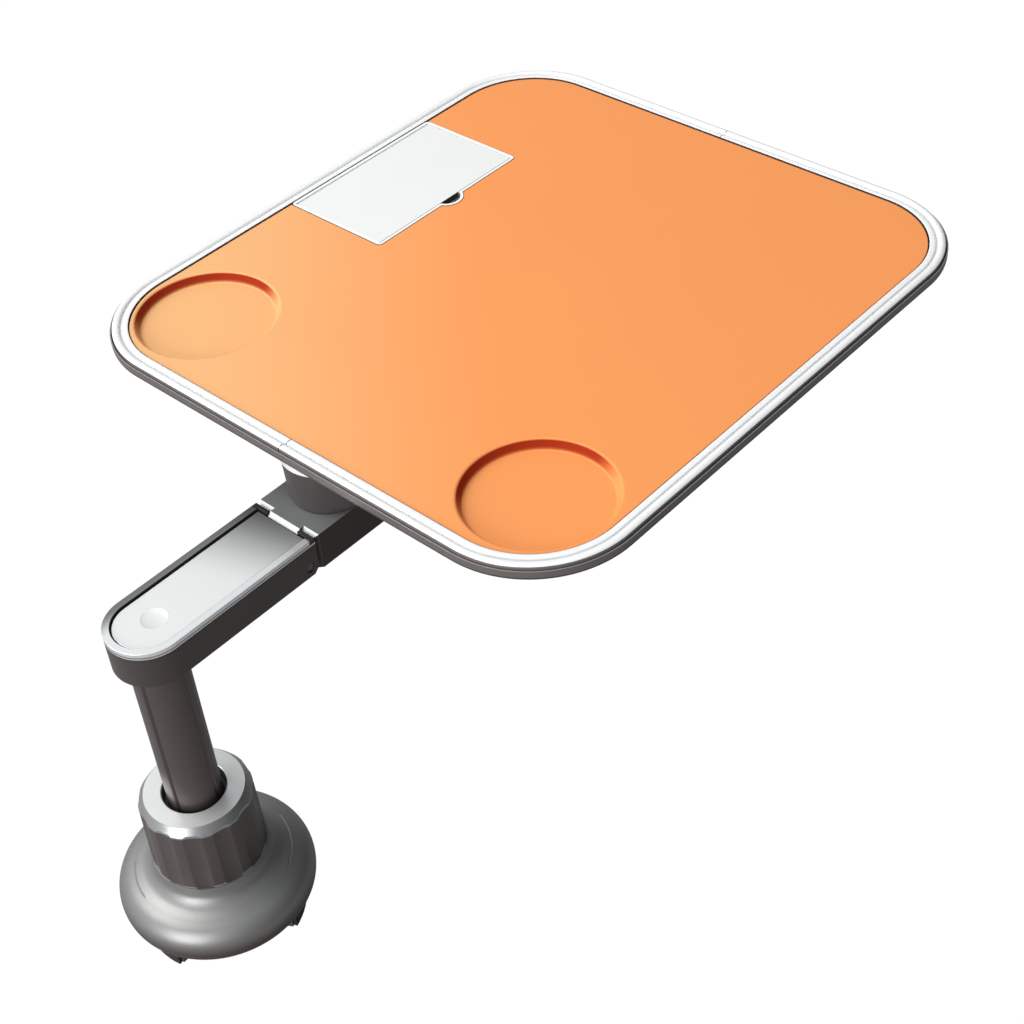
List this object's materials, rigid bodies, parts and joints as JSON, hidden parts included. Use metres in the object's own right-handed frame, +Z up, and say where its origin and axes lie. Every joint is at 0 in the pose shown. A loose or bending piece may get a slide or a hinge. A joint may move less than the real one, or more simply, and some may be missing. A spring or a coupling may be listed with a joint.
{
  "type": "car cup holder tray",
  "caption": "Swivelling tray with drink recesses and a hinged flap, on a folding arm, a lifting column and a foot that spreads inside a cup holder.",
  "frame": {"origin": "on the column's axis, at the foot's flat bottom", "axes": "+Z up along the column, +X from the column along the arm to the tray, +Y to the flap's side of the tray"},
  "size_m": [0.4587, 0.3024, 0.2493],
  "materials": {
    "foot_pad": "matt",
    "insert_cup": "matt",
    "base_plate": "matt",
    "bell_cover": "satin silver paint",
    "guide_sleeve": "matt",
    "guide_bush": "matt",
    "knob": "satin silver paint",
    "cam_sleeve": "matt",
    "jaw_1": "matt",
    "jaw_2": "matt",
    "jaw_3": "matt",
    "jaw_pad_1": "matt",
    "jaw_pad_2": "matt",
    "jaw_pad_3": "matt",
    "column_tube": "dark grey anodised, satin",
    "column_plug": "bright",
    "pivot_washer": "bright",
    "pivot_screw": "bright",
    "arm_body": "satin graphite",
    "arm_bezel": "satin bright silver",
    "arm_lid": "satin light silver",
    "hinge_pin": "bright",
    "swivel_block": "satin grey",
    "hinge_washer_left": "bright",
    "hinge_washer_right": "bright",
    "block_cap": "matt",
    "swivel_drum": "satin graphite",
    "drum_collar": "satin bright silver",
    "swivel_bolt": "bright",
    "swivel_washer": "bright",
    "swivel_nut": "bright",
    "tray_shell": "fine texture",
    "tray_deck": "matt",
    "tray_screw_1": "bright",
    "tray_screw_2": "bright",
    "tray_screw_3": "bright",
    "tray_screw_4": "bright",
    "mat": "matt orange silicone",
    "rim_left": "satin bright silver",
    "rim_right": "satin bright silver",
    "flap_frame": "satin white",
    "flap_pin_left": "bright",
    "flap_pin_right": "bright",
    "flap": "satin light silver"
  },
  "bodies": {
    "base": {"foot_pad": "foot_pad", "insert_cup": "insert_cup", "base_plate": "base_plate", "bell_cover": "bell_cover", "guide_sleeve": "guide_sleeve", "guide_bush": "guide_bush"},
    "knob": {"knob": "knob", "cam_sleeve": "cam_sleeve"},
    "jaw_1": {"jaw_1": "jaw_1", "jaw_pad_1": "jaw_pad_1"},
    "jaw_2": {"jaw_2": "jaw_2", "jaw_pad_2": "jaw_pad_2"},
    "jaw_3": {"jaw_3": "jaw_3", "jaw_pad_3": "jaw_pad_3"},
    "column": {"column_tube": "column_tube", "column_plug": "column_plug", "pivot_washer": "pivot_washer", "pivot_screw": "pivot_screw"},
    "arm": {"arm_body": "arm_body", "arm_bezel": "arm_bezel", "arm_lid": "arm_lid", "hinge_pin": "hinge_pin"},
    "fold": {"swivel_block": "swivel_block", "hinge_washer_left": "hinge_washer_left", "hinge_washer_right": "hinge_washer_right", "block_cap": "block_cap"},
    "swivel": {"swivel_drum": "swivel_drum", "drum_collar": "drum_collar", "swivel_bolt": "swivel_bolt", "swivel_washer": "swivel_washer", "swivel_nut": "swivel_nut", "tray_shell": "tray_shell", "tray_deck": "tray_deck", "mat": "mat", "rim_left": "rim_left", "rim_right": "rim_right", "flap_frame": "flap_frame", "flap_pin_left": "flap_pin_left", "flap_pin_right": "flap_pin_right", "tray_screw_1": "tray_screw_1", "tray_screw_2": "tray_screw_2", "tray_screw_3": "tray_screw_3", "tray_screw_4": "tray_screw_4"},
    "flap": {"flap": "flap"}
  },
  "joints": [
    {"name": "knob_turn", "type": "hinge", "parent": "base", "child": "knob", "pos_m": [0, 0, 0.0637], "axis": [0, 0, -1], "range_deg": [-64, 46]},
    {"name": "jaw_slide_1", "type": "slide", "parent": "base", "child": "jaw_1", "axis": [-0.9998, -0.0175, 0], "range_m": [-0.007, 0.0051]},
    {"name": "jaw_slide_2", "type": "slide", "parent": "base", "child": "jaw_2", "axis": [0.515, -0.8572, 0], "range_m": [-0.007, 0.0051]},
    {"name": "jaw_slide_3", "type": "slide", "parent": "base", "child": "jaw_3", "axis": [0.4848, 0.8746, 0], "range_m": [-0.007, 0.0051]},
    {"name": "column_lift", "type": "slide", "parent": "base", "child": "column", "axis": [0, 0, 1], "range_m": [0, 0.03]},
    {"name": "arm_swing", "type": "hinge", "parent": "column", "child": "arm", "pos_m": [0, 0, 0.1934], "axis": [0, 0, 1], "continuous": true},
    {"name": "arm_fold", "type": "hinge", "parent": "arm", "child": "fold", "pos_m": [0.0746, 0, 0.1982], "axis": [0, 1, 0], "range_deg": [0, 90]},
    {"name": "tray_swivel", "type": "hinge", "parent": "fold", "child": "swivel", "pos_m": [0.10785, 0, 0.213], "axis": [0, 0, 1], "continuous": true},
    {"name": "flap_open", "type": "hinge", "parent": "swivel", "child": "flap", "pos_m": [0.274, 0.13865, 0.2467], "axis": [-1, 0, 0], "range_deg": [0, 95]}
  ],
  "couplings": [
    {"joint": "jaw_slide_1", "follows": "knob_turn", "m_per_rad": 0.0062505},
    {"joint": "jaw_slide_2", "follows": "knob_turn", "m_per_rad": 0.0062505},
    {"joint": "jaw_slide_3", "follows": "knob_turn", "m_per_rad": 0.0062505}
  ]
}
